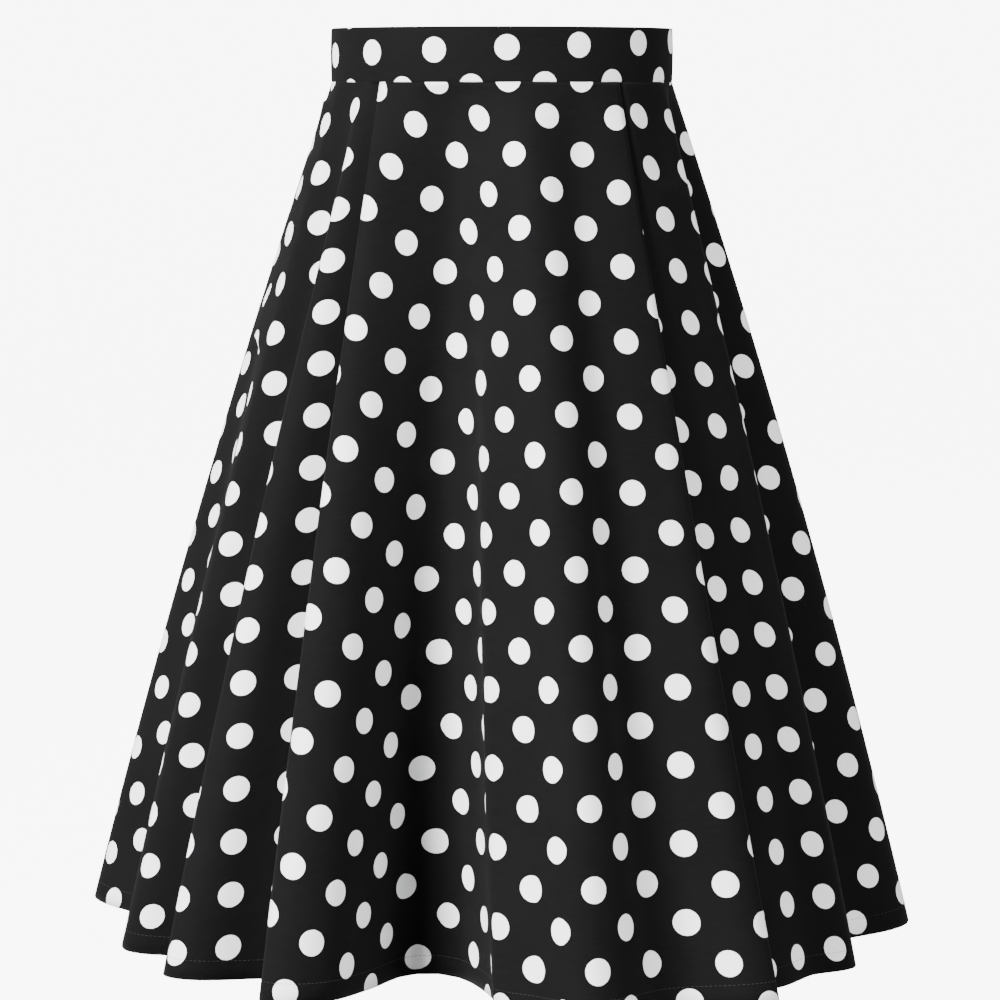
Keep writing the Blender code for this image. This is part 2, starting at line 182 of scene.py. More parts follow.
def tube_along(path: Array, around: Array, radius: float, sides: int = 6) -> tuple[Array, list]:
    """Round cord along a path, closed at both ends: each ring is a circle square to the path.

    Args:
        path: points along the middle.
        around: a direction off the path for every point, which the rings start from.
        radius: radius of the cord.
        sides: points of a ring.

    Returns:
        Vertices and faces, with a flat cap at each end.
    """
    along = np.gradient(path, axis=0)
    along /= np.linalg.norm(along, axis=1, keepdims=True)
    first = around - (around * along).sum(1, keepdims=True) * along
    first /= np.linalg.norm(first, axis=1, keepdims=True)
    second = np.cross(along, first)
    turn = (2 * np.pi * np.arange(sides) / sides)[None, :, None]
    rings = path[:, None] + radius * (np.cos(turn) * first[:, None] + np.sin(turn) * second[:, None])
    last = (len(path) - 1) * sides + np.arange(sides)
    caps = [list(range(sides))[::-1], last.tolist()]
    return rings.reshape(-1, 3), ring_faces(len(path), sides, flip=True).tolist() + caps


def stitch_row(path: Array, off: Array, length: float, gap: float, radius: float) -> tuple[Array, Array]:
    """Row of short stitches along a path: each is a small spindle, thick in its middle.

    The spindle's radius follows the square root of a sine along its length.

    Args:
        path: points along the seam.
        off: direction off the cloth for every point.
        length: length of a stitch.
        gap: space between stitches.
        radius: thickness of the thread, as a radius.

    Returns:
        Vertices and faces of all stitches.
    """
    spread = (0.06, 0.38, 0.62, 0.94)
    rings, sides = len(spread), 4
    pace = np.concatenate([[0.0], np.cumsum(np.linalg.norm(np.diff(path, axis=0), axis=1))])
    count = int(pace[-1] // (length + gap))
    start = np.arange(count) * (length + gap) + gap / 2
    at = start[:, None] + np.linspace(0, length, rings)[None]
    middle = np.stack([np.interp(at, pace, path[:, k]) for k in range(3)], -1)
    away = np.stack([np.interp(at, pace, off[:, k]) for k in range(3)], -1)
    away /= np.linalg.norm(away, axis=-1, keepdims=True)
    along = middle[:, -1:] - middle[:, :1]
    along /= np.linalg.norm(along, axis=-1, keepdims=True)
    across = np.cross(away, along)
    turn = np.linspace(0, 2 * np.pi, sides + 1)[None, None, :-1, None]
    swell = np.sqrt(np.sin(np.pi * np.array(spread)))[None, :, None, None] * radius
    ring = np.cos(turn) * away[:, :, None] + np.sin(turn) * across[:, :, None]
    points = middle[:, :, None] + swell * ring
    at = np.arange(rings * sides).reshape(rings, sides)
    caps = np.array([at[0][::-1], at[-1]])
    one = np.concatenate([ring_faces(rings, sides, flip=True), caps])
    faces = (one[None] + rings * sides * np.arange(count)[:, None, None]).reshape(-1, one.shape[1])
    return points.reshape(-1, 3), faces


# Finishes
class Nodes:
    """Short way to build a material's node tree."""

    def __init__(self, name: str) -> None:
        """Start a material with an empty Principled surface.

        Args:
            name: the material's name.
        """
        self.material = bpy.data.materials.new(name)
        self.material.use_nodes = True
        self.tree: NodeTree = self.material.node_tree
        self.shader = self.tree.nodes["Principled BSDF"]

    def link(self, source: Socket, target: Socket) -> None:
        """Join two sockets."""
        self.tree.links.new(source, target)

    def feed(self, node: bpy.types.Node, values: tuple) -> None:
        """Give a node's inputs in order: a number or vector is set, a socket is linked.

        Args:
            node: the node.
            values: one entry per input, None to skip one.
        """
        for socket, value in zip(node.inputs, values):
            if isinstance(value, bpy.types.NodeSocket):
                self.link(value, socket)
            elif value is not None:
                socket.default_value = value

    def math(self, operation: str, *values: Socket | float) -> Socket:
        """Result of a Math node on the given values.

        Args:
            operation: the node's operation.
            values: its inputs in order.

        Returns:
            The result's socket.
        """
        node = self.tree.nodes.new("ShaderNodeMath")
        node.operation = operation
        self.feed(node, values)
        return node.outputs[0]

    def vector(self, operation: str, *values: Socket | tuple) -> Socket:
        """Result of a Vector Math node, its number where the operation gives one.

        Args:
            operation: the node's operation.
            values: its inputs in order.

        Returns:
            The result's socket.
        """
        node = self.tree.nodes.new("ShaderNodeVectorMath")
        node.operation = operation
        self.feed(node, values)
        return node.outputs["Value" if operation in ("LENGTH", "DISTANCE", "DOT_PRODUCT") else "Vector"]

    def ramp(self, value: Socket, low: float, high: float, to_low: float = 0.0,
             to_high: float = 1.0) -> Socket:
        """Smooth step of a value between two limits, mapped to two others.

        Args:
            value: the value.
            low: limit at which the step starts.
            high: limit at which it ends.
            to_low: result at the first limit.
            to_high: result at the second.

        Returns:
            The step's socket.
        """
        node = self.tree.nodes.new("ShaderNodeMapRange")
        node.interpolation_type = "SMOOTHSTEP"
        self.feed(node, (value, low, high, to_low, to_high))
        return node.outputs[0]

    def noise(self, place: Socket, scale: float, detail: float = 2.0) -> Socket:
        """Noise number at a place.

        Args:
            place: the place.
            scale: waves of the noise in a metre.
            detail: layers of finer noise.

        Returns:
            The number's socket, from nought to one.
        """
        node = self.tree.nodes.new("ShaderNodeTexNoise")
        self.link(place, node.inputs["Vector"])
        node.inputs["Scale"].default_value = scale
        node.inputs["Detail"].default_value = detail
        return node.outputs["Fac"]

    def blend(self, share: Socket, a: tuple | Socket, b: tuple | Socket) -> Socket:
        """Colour between two, by a share.

        Args:
            share: share of the second colour.
            a: first colour.
            b: second colour.

        Returns:
            The colour's socket.
        """
        node = self.tree.nodes.new("ShaderNodeMix")
        node.data_type = "RGBA"
        self.link(share, node.inputs["Factor"])
        for socket, value in ((node.inputs["A"], a), (node.inputs["B"], b)):
            for one in [s for s in node.inputs if s.name == socket.name and s.type == "RGBA"]:
                if isinstance(value, bpy.types.NodeSocket):
                    self.link(value, one)
                else:
                    one.default_value = (*value, 1.0)
        return [s for s in node.outputs if s.type == "RGBA"][0]

    def bump(self, height: Socket, strength: float, distance: float) -> None:
        """Raise the surface by a height.

        Args:
            height: the height's socket.
            strength: how much of it shows.
            distance: metres that a height of one stands for.
        """
        node = self.tree.nodes.new("ShaderNodeBump")
        node.inputs["Strength"].default_value = strength
        node.inputs["Distance"].default_value = distance
        self.link(height, node.inputs["Height"])
        self.link(node.outputs[0], self.shader.inputs["Normal"])

    def place(self, source: str) -> Socket:
        """The piece's place to read a pattern at.

        Args:
            source: "UV" for its place on the print, "Object" for its place in space.

        Returns:
            The place's socket.
        """
        if source == "UV":
            node = self.tree.nodes.new("ShaderNodeUVMap")
            node.uv_map = "print"
            return node.outputs[0]
        return self.tree.nodes.new("ShaderNodeTexCoord").outputs["Object"]


@dataclass(frozen=True)
class DottedCloth:
    """Black woven cloth printed with round dots in a diagonal lattice.

    Args:
        name: the finish's name.
        pitch: distance between dots in a row, and between like rows.
        dot: diameter of a dot.
        black: colour of the ground.
        white: colour of the dots.
        yarn: distance between yarns of the weave.
        ragged: how far a dot's edge wanders.
        bleed: half of the width over which the ink fades.
        roughness: roughness of the ground.
    """

    name: str
    pitch: float = 0.055
    dot: float = 0.0184
    black: tuple = (0.0024, 0.0023, 0.0025)
    white: tuple = (0.86, 0.86, 0.87)
    yarn: float = 0.00055
    ragged: float = 0.0006
    bleed: float = 0.00022
    roughness: float = 0.86

    def make(self) -> bpy.types.Material:
        """The cloth's material.

        The print is the nearer of two square lattices of discs, half a step apart. The weave is
        the product of two sines across the yarns, and slubs vary the ground and its sheen.

        Returns:
            The material.
        """
        n = Nodes(self.name)
        place = n.place("UV")
        step = n.vector("SCALE", place)
        step.node.inputs["Scale"].default_value = 1.0 / self.pitch
        near = []
        for shift in (0.5, 0.0):
            moved = n.vector("ADD", step, (shift, shift, 0.0))
            cell = n.vector("FRACTION", moved)
            near.append(n.vector("LENGTH", n.vector("MULTIPLY", n.vector("SUBTRACT", cell, (0.5, 0.5, 0.0)),
                                                    (1.0, 1.0, 0.0))))
        distance = n.math("MULTIPLY", n.math("MINIMUM", near[0], near[1]), self.pitch)
        ragged = n.math("MULTIPLY", n.math("SUBTRACT", n.noise(place, 900.0), 0.5), self.ragged)
        radius = self.dot / 2
        ink = n.ramp(n.math("ADD", distance, ragged), radius + self.bleed, radius - self.bleed)

        waves = 2 * np.pi / self.yarn
        warp, weft = (n.math("SINE", n.vector("DOT_PRODUCT", place, axis))
                      for axis in ((waves, 0.0, 0.0), (0.0, waves, 0.0)))
        weave = n.math("MULTIPLY", warp, weft)
        slub = n.noise(n.vector("MULTIPLY", place, (60.0, 900.0, 1.0)), 1.0, 3.0)
        cloud = n.noise(place, 14.0, 3.0)

        ground = n.blend(n.ramp(slub, 0.3, 0.75), self.black, tuple(1.7 * c for c in self.black))
        ground = n.blend(n.ramp(cloud, 0.35, 0.7, 0.0, 0.35), ground, tuple(1.9 * c for c in self.black))
        paint = n.blend(n.ramp(slub, 0.3, 0.8), self.white, tuple(0.93 * c for c in self.white))
        n.link(n.blend(ink, ground, paint), n.shader.inputs["Base Color"])
        n.link(n.ramp(slub, 0.2, 0.8, self.roughness - 0.08, self.roughness + 0.06),
               n.shader.inputs["Roughness"])
        n.shader.inputs["Specular IOR Level"].default_value = 0.05
        n.shader.inputs["Sheen Weight"].default_value = 0.02
        n.shader.inputs["Sheen Roughness"].default_value = 0.5
        height = n.math("ADD", n.math("MULTIPLY", weave, 0.5), n.math("MULTIPLY", ink, 0.12))
        height = n.math("ADD", height, n.math("MULTIPLY", slub, 0.5))
        n.bump(height, 0.35, 0.00012)
        return n.material


@dataclass(frozen=True)
class WovenTrim:
    """Plain woven trim, such as zip tape or thread.

    Args:
        name: the finish's name.
        colour: colour of the yarn.
        rib: distance between ribs, along Z.
        roughness: roughness of the yarn.
    """

    name: str
    colour: tuple = (0.012, 0.012, 0.013)
    rib: float = 0.0007
    roughness: float = 0.8

    def make(self) -> bpy.types.Material:
        """The trim's material: ribs are a sine along Z, with noise in colour and roughness.

        Returns:
            The material.
        """
        n = Nodes(self.name)
        place = n.place("Object")
        rib = n.math("SINE", n.vector("DOT_PRODUCT", place, (0.0, 0.0, 2 * np.pi / self.rib)))
        fuzz = n.noise(place, 1800.0, 3.0)
        n.link(n.blend(fuzz, self.colour, tuple(2.2 * c for c in self.colour)),
               n.shader.inputs["Base Color"])
        n.link(n.ramp(fuzz, 0.2, 0.8, self.roughness - 0.1, self.roughness + 0.1),
               n.shader.inputs["Roughness"])
        n.bump(n.math("ADD", rib, fuzz), 0.4, 0.0001)
        return n.material


@dataclass(frozen=True)
class BlackEnamel:
    """Black lacquered zip metal with worn edges.

    Args:
        name: the finish's name.
        colour: lacquer colour.
        roughness: roughness of the lacquer.
    """

    name: str
    colour: tuple = (0.016, 0.016, 0.018)
    roughness: float = 0.34

    def make(self) -> bpy.types.Material:
        """The lacquer's material: fine scratches are stretched noise in roughness and bump.

        Returns:
            The material.
        """
        n = Nodes(self.name)
        place = n.place("Object")
        scratch = n.noise(n.vector("MULTIPLY", place, (2500.0, 2500.0, 240.0)), 1.0, 4.0)
        wear = n.noise(place, 420.0, 2.0)
        n.link(n.blend(n.ramp(wear, 0.45, 0.8, 0.0, 0.5), self.colour, (0.055, 0.055, 0.058)),
               n.shader.inputs["Base Color"])
        n.link(n.ramp(scratch, 0.25, 0.8, self.roughness - 0.06, self.roughness + 0.16),
               n.shader.inputs["Roughness"])
        n.shader.inputs["Metallic"].default_value = 0.6
        n.bump(scratch, 0.25, 0.00003)
        return n.material


# The cut and its hang
@dataclass(frozen=True)
class Crest:
    """One crest line of the skirt and the fold that follows it, going round by the right.

    Args:
        name: the crest's name.
        waist_cut: place of the line on the flat cut at the waist, from the front middle.
        hem_cut: its place on the cut at the hem.
        hem_hang: direction in which it hangs at the hem.
        hem_reach: its distance from the middle at the hem.
        take_up: cloth that the fold hides at the waist, a pleat where it isn't nought.
        waist_lean: how far the valley lies under the first (-) or next (+) crest at the waist.
        hem_lean: the same at the hem.
        sharp: how tightly the cloth turns.
        spring: how far the line runs ahead outwards at the hips.
    """

    name: str
    waist_cut: float
    hem_cut: float
    hem_hang: float
    hem_reach: float
    take_up: float = 0.0
    waist_lean: float = 0.0
    hem_lean: float = 0.0
    sharp: float = 1.0
    spring: float = 0.13


CRESTS = (
    Crest("left side", -46.0, -46.0, -101.0, 0.328),
    Crest("left third", -37.5, -35.0, -70.0, 0.300),
    Crest("left second", -29.5, -26.5, -53.0, 0.304, 0.0395, 0.86, 0.1, 1.0),
    Crest("left front", -19.2, -15.4, -32.5, 0.306, hem_lean=-0.17, sharp=1.9),
    Crest("centre", 3.6, 6.9, 11.2, 0.323, sharp=0.75, spring=0.18),
    Crest("right front", 18.2, 15.9, 36.6, 0.323, 0.0395, -0.86, -0.1, 1.3, -0.06),
    Crest("right second", 27.0, 22.4, 43.5, 0.288, sharp=0.8, spring=0.05),
    Crest("right third", 36.5, 27.5, 59.5, 0.299, hem_lean=-0.3, spring=0.14),
    Crest("right side", 45.5, 40.0, 87.0, 0.314, spring=0.16),
    Crest("back first", 57.0, 54.0, 113.0, 0.302),
    Crest("back second", 67.5, 66.5, 135.0, 0.302, 0.0395, 0.86, 0.1, 1.0),
    Crest("back third", 79.0, 79.0, 157.0, 0.302),
    Crest("back middle", 90.0, 90.0, 180.0, 0.302),
    Crest("back fifth", 101.0, 101.0, 201.0, 0.302, 0.0395, -0.86, -0.1, 1.0),
    Crest("back sixth", 112.5, 112.0, 222.0, 0.302),
    Crest("back seventh", 123.5, 123.0, 241.0, 0.308),
)


@dataclass(frozen=True)
class Crease:
    """A soft ridge or hollow that runs down the cloth.

    Args:
        name: the crease's name.
        waist_cut: angle of its line on the cut at the waist, in degrees.
        hem_cut: the same at the hem.
        width: half of its width at the hem.
        rise: how far it stands out at the hem, below nought for a hollow.
        start: share of the skirt's length at which it begins.
    """

    name: str
    waist_cut: float
    hem_cut: float
    width: float
    rise: float
    start: float

    def height(self, share: Array, angle: Array, radius: Array) -> Array:
        """How far the cloth stands out for this crease.

        The height falls off to both sides as a bell curve of the length along the ring, which is
        about half as wide at the waist. From the start it grows as a falling parabola.

        Args:
            share: shares of the length, a number for each ring.
            angle: angles on the cut of all points, in radians.
            radius: radii of the rings on the cut.

        Returns:
            Heights along the normals.
        """
        line = np.radians(self.waist_cut + (self.hem_cut - self.waist_cut) * share)
        grow = np.clip((share - self.start) / (1 - self.start), 0, 1)
        off = (angle - line[:, None]) * radius[:, None] / (self.width * (0.45 + 0.55 * share[:, None]))
        return (self.rise * grow * (2 - grow))[:, None] * np.exp(-off ** 2)


CREASES = (
    Crease("centre terrace", -3.0, 1.9, 0.024, 0.013, 0.25),
    Crease("centre step", 2.0, 4.4, 0.020, -0.006, 0.25),
    Crease("left valley floor", -9.5, -6.4, 0.030, -0.006, 0.30),
    Crease("right hollow", 9.5, 11.6, 0.026, -0.006, 0.15),
    Crease("right edge", 16.0, 14.8, 0.012, 0.003, 0.30),
    Crease("left shoulder", -16.0, -12.4, 0.022, 0.003, 0.20),
    Crease("left side ripple", -33.0, -30.6, 0.020, 0.004, 0.30),
    Crease("right side ripple", 32.0, 34.6, 0.022, 0.004, 0.30),
    Crease("back ripple left", 95.5, 95.5, 0.020, 0.004, 0.35),
    Crease("back ripple right", 84.5, 84.5, 0.020, 0.004, 0.35),
)


@dataclass(frozen=True)
class Print:
    """How the dots lie on one panel's cut.

    Args:
        turn: turn of the print against the cut.
        across: place of one dot across the print.
        along: place of the same dot along it.
        straight: how far the panel's waist edge is cut straight, from an arc, nought, to a line, one.
        middle: angle of the cut at which that edge is square to the print's length.
        waist_radius: radius of the cut at the waist.
    """

    turn: float
    across: float
    along: float
    straight: float = 0.0
    middle: float = 0.0
    waist_radius: float = 0.286

    def place(self, radius: Array, angle: Array) -> Array:
        """Place on the print of points of the cut.

        A straight waist edge lies further out than the arc to both sides of its middle, by the
        radius over the cosine. The point at a radius and angle of the cut is turned by the
        print's turn, and measured from the place of one dot.

        Args:
            radius: distances from the middle of the cut.
            angle: angles on the cut, in radians.

        Returns:
            Two numbers a point, in metres.
        """
        phi = angle + np.radians(self.turn)
        off = np.clip(angle - np.radians(self.middle), -0.8, 0.8)
        radius = radius + self.straight * self.waist_radius * (1 / np.cos(off) - 1)
        return np.stack([radius * np.sin(phi) - self.across, radius * np.cos(phi) - self.along], -1)


@dataclass
class Waist:
    """The waist line, an ellipse.

    Args:
        half_width: half of its width.
        half_depth: half of its depth.
    """

    half_width: float = 0.1276
    half_depth: float = 0.1076

    def walk(self, low: float, high: float, count: int) -> tuple[Array, Array]:
        """Turns and the lengths walked to them from the front middle.

        Args:
            low: first turn.
            high: last turn.
            count: steps between them.

        Returns:
            Turns and lengths.
        """
        turn = np.linspace(low, high, count + 1)
        middle = (turn[1:] + turn[:-1]) / 2
        pace = np.hypot(self.half_width * np.cos(middle), self.half_depth * np.sin(middle))
        walked = np.concatenate([[0.0], np.cumsum(pace * np.diff(turn))])
        return turn, walked - np.interp(0.0, turn, walked)

    def half(self) -> float:
        """Length from the front middle to the back middle."""
        return float(self.walk(0.0, np.pi, 4000)[1][-1])

    def turn(self, arc: Array) -> Array:
        """Turns after lengths walked from the front middle."""
        turn, walked = self.walk(-3 * np.pi, 5 * np.pi, 40000)
        return np.interp(arc, walked, turn)

    def point(self, turn: Array, out: Array | float = 0.0) -> Array:
        """Points of the ellipse, moved out square to it.

        Args:
            turn: turns of the points.
            out: how far they are moved out.

        Returns:
            Places in plan.
        """
        sine, cosine = np.sin(turn), np.cos(turn)
        across = np.stack([self.half_depth * sine, -self.half_width * cosine], -1)
        across /= np.linalg.norm(across, axis=-1, keepdims=True)
        return np.stack([self.half_width * sine, -self.half_depth * cosine], -1) + out * across

    def heading(self, turn: Array) -> Array:
        """Direction of travel at turns."""
        return np.unwrap(np.arctan2(self.half_depth * np.sin(turn), self.half_width * np.cos(turn)))


@dataclass
class HungSkirt:
    """The skirt's cloth, cut as half a ring and hung in flutes.

    Args:
        waist: the waist line.
        waist_radius: radius of the cut at the waist.
        length: length of the skirt under the band.
        turn: angle of the whole cut.
        wall: thickness of the cloth.
        top: height of the waist seam.
        rings: rings from waist to hem.
        crowding: how much closer the rings lie at the waist, one for even rings.
        plain: points along a plain fold.
        pleat: points along a pleated fold.
        levelling: share of the way by which every column is brought to the mean length.
        steepest: least share of its length by which a step of cloth falls.
        lean_fade: share of the length over which a valley's lean changes to that of the hem.
        crease_fade: share of the length over which a pleat's crease opens.
        pleat_crease: how much more tightly a pleat turns at the waist.
        pleat_step: depth from one layer of a pleat to the next at the waist.
        seam_fade: share of the length over which the cloth leaves the band's line.
        tuck_depth: how far a pleat's valley is held under at most.
        tuck_place: share of the length at which it is.
    """

    waist: Waist = field(default_factory=Waist)
    waist_radius: float = 0.286
    length: float = 0.664
    turn: float = 180.0
    wall: float = 0.0011
    top: float = -0.0200
    rings: int = 84
    crowding: float = 1.2
    plain: int = 24
    pleat: int = 36
    levelling: float = 0.7
    steepest: float = 0.3
    lean_fade: float = 0.30
    crease_fade: float = 0.15
    pleat_crease: float = 3.0
    pleat_step: float = 0.0020
    seam_fade: float = 0.045
    tuck_depth: float = 0.014
    tuck_place: float = 0.10

    def column(self, name: str, add: float) -> Array:
        """One column of the crest table, with its first entry again at the end, one turn on.

        Args:
            name: name of the crest's value.
            add: what one turn adds to it.

        Returns:
            One number a crest, and the last.
        """
        values = np.array([getattr(crest, name) for crest in CRESTS], float)
        return np.append(values, values[0] + add)

    def arcs(self) -> Array:
        """Length along the waist from the front middle to each crest: cloth less what pleats hide.

        Returns:
            One length a crest, and the first again one turn on.
        """
        cut = np.radians(self.column("waist_cut", self.turn)) * self.waist_radius
        hidden = np.concatenate([[0.0], np.cumsum([crest.take_up for crest in CRESTS])])
        middle = [crest.name for crest in CRESTS].index("centre")
        return cut - hidden + hidden[middle]

    def crest_lines(self, down: Array) -> tuple[Array, Array, Array]:
        """Crest lines on every ring.

        On the flat cut a crest line is straight. In space its plan runs straight from the waist
        to its place at the hem, a little ahead at the hips.

        Args:
            down: distance of each ring from the waist.

        Returns:
            Angles on the cut, places in plan and directions of travel.
        """
        turns = self.waist.turn(self.arcs())
        hangs = np.radians(self.column("hem_hang", 360.0))
        reach = self.column("hem_reach", 0.0)
        waist_cut = np.radians(self.column("waist_cut", self.turn))
        swing = np.radians(self.column("hem_cut", self.turn)) - waist_cut
        share = (down / self.length)[:, None]
        radius = (self.waist_radius + down)[:, None]
        hem = self.waist_radius + self.length
        run = np.stack([hem * np.sin(swing), hem * np.cos(swing) - self.waist_radius])
        square = (run ** 2).sum(0)
        along = self.waist_radius * run[1]
        reached = (-along + np.sqrt(along ** 2 + square * (radius ** 2 - self.waist_radius ** 2))) / square
        cut = waist_cut + np.arctan2(reached * run[0], self.waist_radius + reached * run[1])
        top = self.waist.point(turns)
        foot = np.stack([reach * np.sin(hangs), -reach * np.cos(hangs)], -1)
        spread = share * (1 + self.column("spring", 0.0) * (1 - share))
        place = top + spread[..., None] * (foot - top)
        heading = self.waist.heading(turns)
        return cut, place, heading + share * (hangs - heading)

    def fold(self, chord: Array, ends: tuple[Array, Array], length: Array, lean: Array, sharp: Array,
             points: int) -> tuple[Array, Array]:
        """Plan of one fold on every ring, from its first crest to the next.

        The direction of travel swings in from the first crest and out to the next; each swing
        swells as the hyperbolic tangent of a half sine. The two swings are solved by Newton's
        method so that the given length of cloth ends at the next crest.

        Args:
            chord: way from the first crest to the next, (rings, 2).
            ends: directions of travel at both crests.
            length: cloth between them.
            lean: how far the valley leans under one crest.
            sharp: how tightly the cloth turns.
            points: steps of the fold.

        Returns:
            Places along the fold and their shares of the cloth.
        """
        reach = np.linalg.norm(chord, axis=-1)
        ratio = np.minimum(reach / length, 0.9999)
        valley = 0.5 * (1 + lean * ratio)
        half = points // 2
        at = (np.arange(half) + 0.5) / half
        swell = np.tanh(sharp[:, None] * np.sin(np.pi * at)) / np.tanh(sharp[:, None])
        going, coming = valley * length, (1 - valley) * length
        turn = (ends[1] - ends[0])[:, None]
        base_in = ends[0][:, None] + turn * at * valley[:, None]
        base_out = ends[0][:, None] + turn * (valley[:, None] + at * (1 - valley[:, None]))

        def steps(swing_in: Array, swing_out: Array) -> Array:
            """Steps of the fold for two swings.

            Args:
                swing_in: how far the direction swings in from the first crest.
                swing_out: how far it swings out to the next.

            Returns:
                Steps in plan, on every ring.
            """
            inward = base_in + swing_in[:, None] * swell
            outward = base_out - swing_out[:, None] * swell
            a = np.stack([np.cos(inward), np.sin(inward)], -1) * (going / half)[:, None, None]
            b = np.stack([np.cos(outward), np.sin(outward)], -1) * (coming / half)[:, None, None]
            return np.concatenate([a, b], 1)

        def corner(near: Array, far: Array) -> Array:
            """Angle beside a side of the triangle that the two halves and the chord make.

            Args:
                near: the side.
                far: the other half.

            Returns:
                The angle on every ring.
            """
            return np.arccos(np.clip((near ** 2 + reach ** 2 - far ** 2) / (2 * near * reach), -1, 1))

        swing_in = corner(going, coming) * 1.1 + 0.02
        swing_out = corner(coming, going) * 1.1 + 0.02
        nudge = 1e-5
        for _ in range(80):
            miss = steps(swing_in, swing_out).sum(1) - chord
            by_in = (steps(swing_in + nudge, swing_out).sum(1) - chord - miss) / nudge
            by_out = (steps(swing_in, swing_out + nudge).sum(1) - chord - miss) / nudge
            det = by_in[:, 0] * by_out[:, 1] - by_in[:, 1] * by_out[:, 0]
            det = np.where(np.abs(det) < 1e-9, 1e-9, det)
            more_in = -(miss[:, 0] * by_out[:, 1] - miss[:, 1] * by_out[:, 0]) / det
            more_out = -(by_in[:, 0] * miss[:, 1] - by_in[:, 1] * miss[:, 0]) / det
            swing_in = np.clip(swing_in + np.clip(more_in, -0.1, 0.1), 0, 3.1)
            swing_out = np.clip(swing_out + np.clip(more_out, -0.1, 0.1), 0, 3.1)
        path = np.concatenate([np.zeros((len(chord), 1, 2)), np.cumsum(steps(swing_in, swing_out), 1)], 1)
        halves = np.linspace(0, 1, half + 1)[None]
        valley = valley[:, None]
        share = np.concatenate([halves * valley, valley + halves[:, 1:] * (1 - valley)], 1)
        path += share[..., None] * (chord - path[:, -1])[:, None]
        return path, share

    def waist_fold(self, start: float, end: float, length: float, lean: float, share: Array) -> Array:
        """Plan of one fold along the waist seam, where the band holds it flat.

        A plain fold follows the waist. A pleat's long side slides under the crest that its valley
        leans to, two steps deep, and its short side comes back one step deep.

        Args:
            start: length along the waist to the first crest.
            end: length along the waist to the next one.
            length: cloth between them.
            lean: lean of the valley.
            share: shares of the cloth of the fold's points.

        Returns:
            Places in plan.
        """
        if not lean:
            return self.waist.point(self.waist.turn(start + share * (end - start)))
        if lean < 0:
            mirror = self.waist_fold(-end, -start, length, -lean, 1 - share[::-1])[::-1]
            return mirror * np.array([-1.0, 1.0])
        tip = end + (length - (end - start)) / 2
        half = len(share) // 2
        going = np.linspace(0, 1, half + 1)
        long_arc = start + going * (tip - start)
        ramp = np.clip((long_arc - start) / (end - start), 0, 1)
        long_deep = 2 * self.pleat_step * ramp ** 2 * (3 - 2 * ramp)
        long_deep -= 0.5 * self.pleat_step * np.clip(going * 6 - 5, 0, 1) ** 2
        short_arc = tip + going[1:] * (end - tip)
        short_deep = self.pleat_step * (1 + 0.5 * np.clip(1 - 6 * going[1:], 0, 1) ** 2
                                        - np.clip(6 * going[1:] - 5, 0, 1) ** 2)
        deep = np.concatenate([long_deep, short_deep])
        return self.waist.point(self.waist.turn(np.concatenate([long_arc, short_arc])), -deep[:, None])

    def tuck(self, over: Array, share: Array, points: int) -> Array:
        """Shift that keeps a pleat under the cloth beside the crest that covers it.

        It points to the middle and grows evenly from both crests to the valley. Down the skirt it
        rises to its depth at one place and fades away after it.

        Args:
            over: places in plan of the covering crest.
            share: shares of the length of each ring.
            points: steps of the fold.

        Returns:
            Shifts in plan of the fold's points on every ring.
        """
        pace = share / self.tuck_place
        depth = self.tuck_depth * (pace * np.exp(1 - pace)) ** 2
        inward = -over / np.linalg.norm(over, axis=-1, keepdims=True)
        rise = 1 - np.abs(np.linspace(-1, 1, points + 1))
        return (depth[:, None] * inward)[:, None] * rise[None, :, None]

    def hang(self) -> None:
        """Work out the middle of the cloth all round, its normals and its places on the cut."""
        down = self.length * np.linspace(0, 1, self.rings) ** self.crowding
        share = down / self.length
        cut, place, heading = self.crest_lines(down)
        arcs = self.arcs()
        radius = self.waist_radius + down
        plans, cuts = [], []
        self.crest_at: dict[str, int] = {}
        self.valley_at: dict[str, int] = {}
        count = 0
        for j, crest in enumerate(CRESTS):
            points = self.pleat if crest.take_up else self.plain
            length = radius * (cut[:, j + 1] - cut[:, j])
            lean = crest.hem_lean + (crest.waist_lean - crest.hem_lean) * np.exp(-share / self.lean_fade)
            crease = self.pleat_crease if crest.take_up else 0.0
            sharp = crest.sharp + crease * np.exp(-share / self.crease_fade)
            path, part = self.fold(place[:, j + 1] - place[:, j], (heading[:, j], heading[:, j + 1]),
                                   length, lean, sharp, points)
            plan = place[:, j][:, None] + path
            seam = self.waist_fold(arcs[j], arcs[j + 1], length[0], crest.waist_lean, part[0])
            held = (seam - plan[0]) * np.exp(-share / self.seam_fade)[:, None, None]
            plan = plan + held
            if crest.take_up:
                plan = plan + self.tuck(place[:, j + (crest.waist_lean > 0)], share, points)
            plans.append(plan[:, :-1])
            cuts.append(cut[:, j][:, None] + (cut[:, j + 1] - cut[:, j])[:, None] * part[:, :-1])
            self.crest_at[crest.name] = count
            self.valley_at[crest.name] = count + points // 2
            count += points
        plan, angle = np.concatenate(plans, 1), np.concatenate(cuts, 1)
        flat = radius[:, None, None] * np.stack([np.sin(angle), np.cos(angle)], -1)
        cloth = np.linalg.norm(np.diff(flat, axis=0), axis=-1)
        shift = np.linalg.norm(np.diff(plan, axis=0), axis=-1)
        fall = np.sqrt(np.maximum(cloth ** 2 - shift ** 2, (self.steepest * cloth) ** 2))
        depth = np.concatenate([np.zeros((1, count)), np.cumsum(fall, 0)])
        depth *= 1 + self.levelling * (depth[-1].mean() / depth[-1] - 1)
        surface = np.concatenate([plan, (self.top - depth)[..., None]], -1)
        raised = sum(crease.height(share, angle, radius) for crease in CREASES)
        self.surface = surface + raised[..., None] * self.normals(surface)
        self.normal = self.normals(self.surface)
